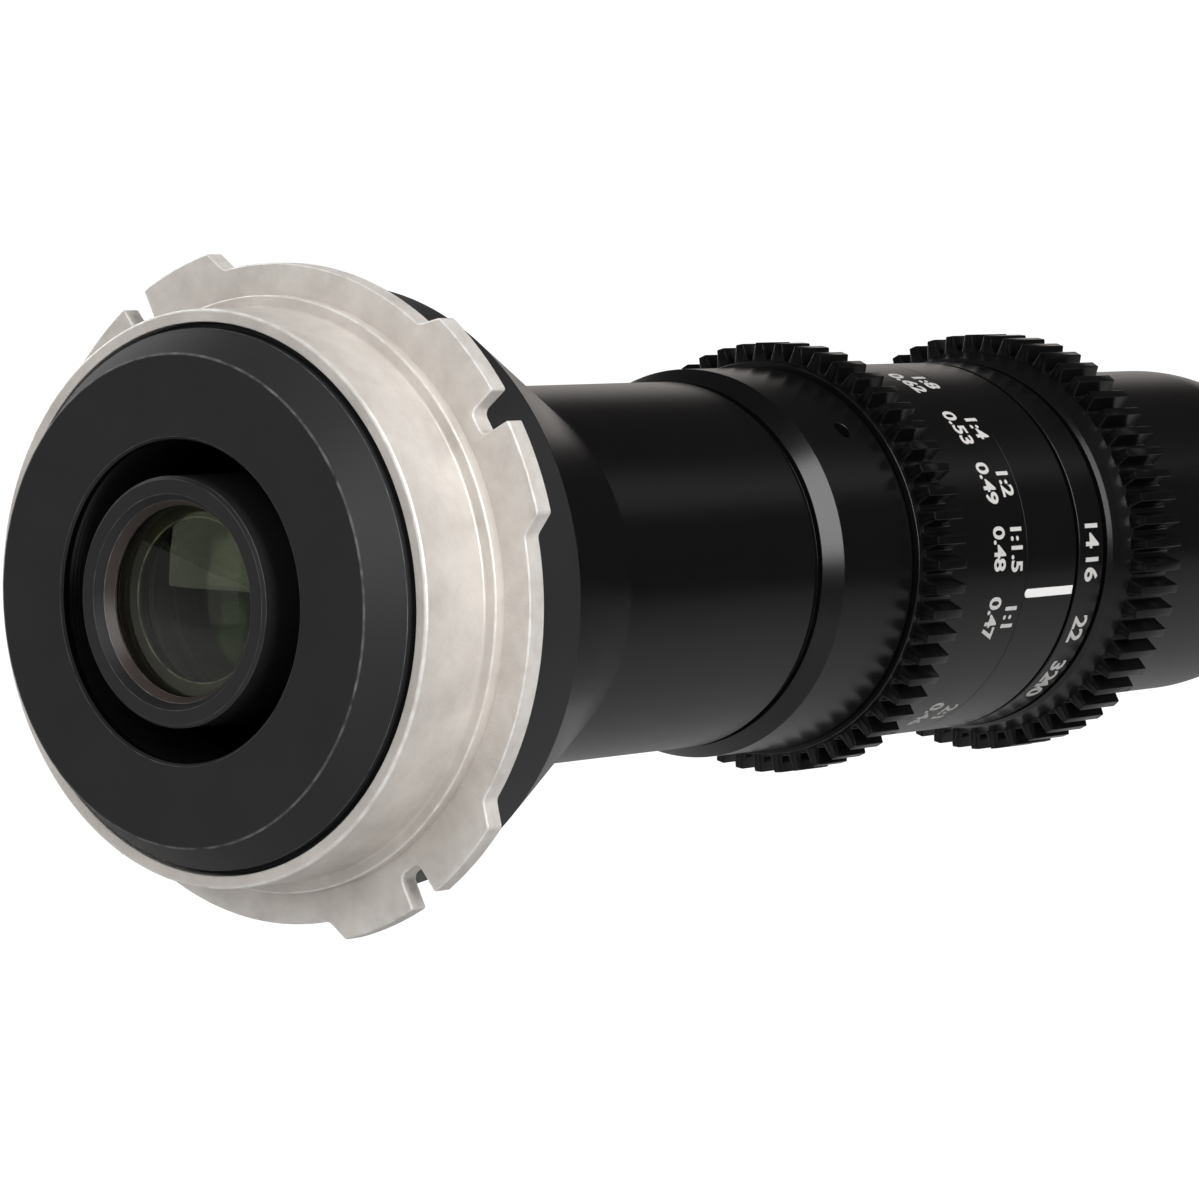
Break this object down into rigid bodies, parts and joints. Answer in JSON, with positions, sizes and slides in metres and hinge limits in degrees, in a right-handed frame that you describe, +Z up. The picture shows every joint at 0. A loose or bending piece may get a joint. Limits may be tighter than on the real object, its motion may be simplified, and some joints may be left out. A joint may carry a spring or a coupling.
{
  "type": "macro probe lens",
  "caption": "Long thin macro probe lens with a four-lug cine mount, geared focus and aperture rings, a moving iris and a lit tip.",
  "frame": {"origin": "on the optical axis at the mount's seat face", "axes": "+Y along the optical axis from the mount to the tip, +Z up, the index line faces +X"},
  "size_m": [0.0624, 0.4142, 0.0624],
  "materials": {
    "mount_steel": "satin",
    "brass": "satin",
    "dark_steel": "satin",
    "baffle_black": "matte",
    "anodised_black": "satin",
    "cell_black": "matte",
    "glass": "gloss",
    "inner_aluminium": "satin",
    "pin_steel": "gloss",
    "white_fill": "matte",
    "seal_rubber": "matte",
    "socket_steel": "gloss",
    "flex": "matte",
    "board_white": "matte",
    "led_yellow": "gloss",
    "window_white": "matte",
    "blade_black": "matte"
  },
  "bodies": {
    "body": {"mount_flange": "mount_steel", "mount_shim": "brass", "mount_screws": "dark_steel", "rear_baffle": "baffle_black", "mount_adapter": "anodised_black", "rear_cell": "cell_black", "rear_retaining_ring": "cell_black", "rear_element": "glass", "rear_spacer": "cell_black", "rear_doublet": "glass", "rear_barrel": "anodised_black", "barrel_sleeve": "anodised_black", "grub_screws": "dark_steel", "inner_barrel": "inner_aluminium", "index_ring": "anodised_black", "index_mark": "white_fill", "iris_base": "cell_black", "iris_cover": "cell_black", "nose": "anodised_black", "nose_seal": "seal_rubber", "probe_tube": "anodised_black", "relay_tube": "inner_aluminium", "collimator_lens": "glass", "relay_lenses": "glass", "relay_spacers": "cell_black", "power_socket": "socket_steel", "socket_pin": "brass", "led_flex": "flex", "tip_bezel": "anodised_black", "tip_gasket": "seal_rubber", "led_board": "board_white", "leds": "led_yellow", "light_window": "window_white", "front_cell": "cell_black", "objective_lens": "glass", "front_element": "glass", "front_retaining_ring": "cell_black"},
    "focus_ring": {"focus_ring": "anodised_black", "focus_cam": "brass"},
    "focus_carriage": {"focus_carriage": "inner_aluminium", "cam_pins": "pin_steel", "focus_doublet": "glass", "focus_element": "glass", "focus_retaining_rings": "cell_black"},
    "aperture_ring": {"aperture_ring": "anodised_black", "aperture_key": "pin_steel", "iris_drive_ring": "inner_aluminium"},
    "iris_blade_1": {"iris_blade_1": "blade_black"},
    "iris_blade_2": {"iris_blade_2": "blade_black"},
    "iris_blade_3": {"iris_blade_3": "blade_black"},
    "iris_blade_4": {"iris_blade_4": "blade_black"},
    "iris_blade_5": {"iris_blade_5": "blade_black"},
    "iris_blade_6": {"iris_blade_6": "blade_black"},
    "iris_blade_7": {"iris_blade_7": "blade_black"}
  },
  "joints": [
    {"name": "focus_turn", "type": "hinge", "parent": "body", "child": "focus_ring", "pos_m": [0, 0.08545, 0], "axis": [0, 1, 0], "range_deg": [-49, 140]},
    {"name": "focus_slide", "type": "slide", "parent": "body", "child": "focus_carriage", "axis": [0, 1, 0], "range_m": [-0.00208, 0.00593]},
    {"name": "aperture_turn", "type": "hinge", "parent": "body", "child": "aperture_ring", "pos_m": [0, 0.11385, 0], "axis": [0, 1, 0], "range_deg": [-41, 18]},
    {"name": "blade_swing_1", "type": "hinge", "parent": "body", "child": "iris_blade_1", "pos_m": [0, 0.11265, 0.015], "axis": [0, 1, 0], "range_deg": [-4.95, 11.27]},
    {"name": "blade_swing_2", "type": "hinge", "parent": "body", "child": "iris_blade_2", "pos_m": [0.01173, 0.113, 0.00935], "axis": [0, 1, 0], "range_deg": [-4.95, 11.27]},
    {"name": "blade_swing_3", "type": "hinge", "parent": "body", "child": "iris_blade_3", "pos_m": [0.01462, 0.11335, -0.00334], "axis": [0, 1, 0], "range_deg": [-4.95, 11.27]},
    {"name": "blade_swing_4", "type": "hinge", "parent": "body", "child": "iris_blade_4", "pos_m": [0.00651, 0.1137, -0.01351], "axis": [0, 1, 0], "range_deg": [-4.95, 11.27]},
    {"name": "blade_swing_5", "type": "hinge", "parent": "body", "child": "iris_blade_5", "pos_m": [-0.00651, 0.11405, -0.01351], "axis": [0, 1, 0], "range_deg": [-4.95, 11.27]},
    {"name": "blade_swing_6", "type": "hinge", "parent": "body", "child": "iris_blade_6", "pos_m": [-0.01462, 0.1144, -0.00334], "axis": [0, 1, 0], "range_deg": [-4.95, 11.27]},
    {"name": "blade_swing_7", "type": "hinge", "parent": "body", "child": "iris_blade_7", "pos_m": [-0.01173, 0.11475, 0.00935], "axis": [0, 1, 0], "range_deg": [-4.95, 11.27]}
  ],
  "couplings": [
    {"joint": "focus_slide", "follows": "focus_turn", "m_per_rad": 0.0024252},
    {"joint": "blade_swing_1", "follows": "aperture_turn", "ratio": -0.27458},
    {"joint": "blade_swing_2", "follows": "aperture_turn", "ratio": -0.27458},
    {"joint": "blade_swing_3", "follows": "aperture_turn", "ratio": -0.27458},
    {"joint": "blade_swing_4", "follows": "aperture_turn", "ratio": -0.27458},
    {"joint": "blade_swing_5", "follows": "aperture_turn", "ratio": -0.27458},
    {"joint": "blade_swing_6", "follows": "aperture_turn", "ratio": -0.27458},
    {"joint": "blade_swing_7", "follows": "aperture_turn", "ratio": -0.27458}
  ]
}
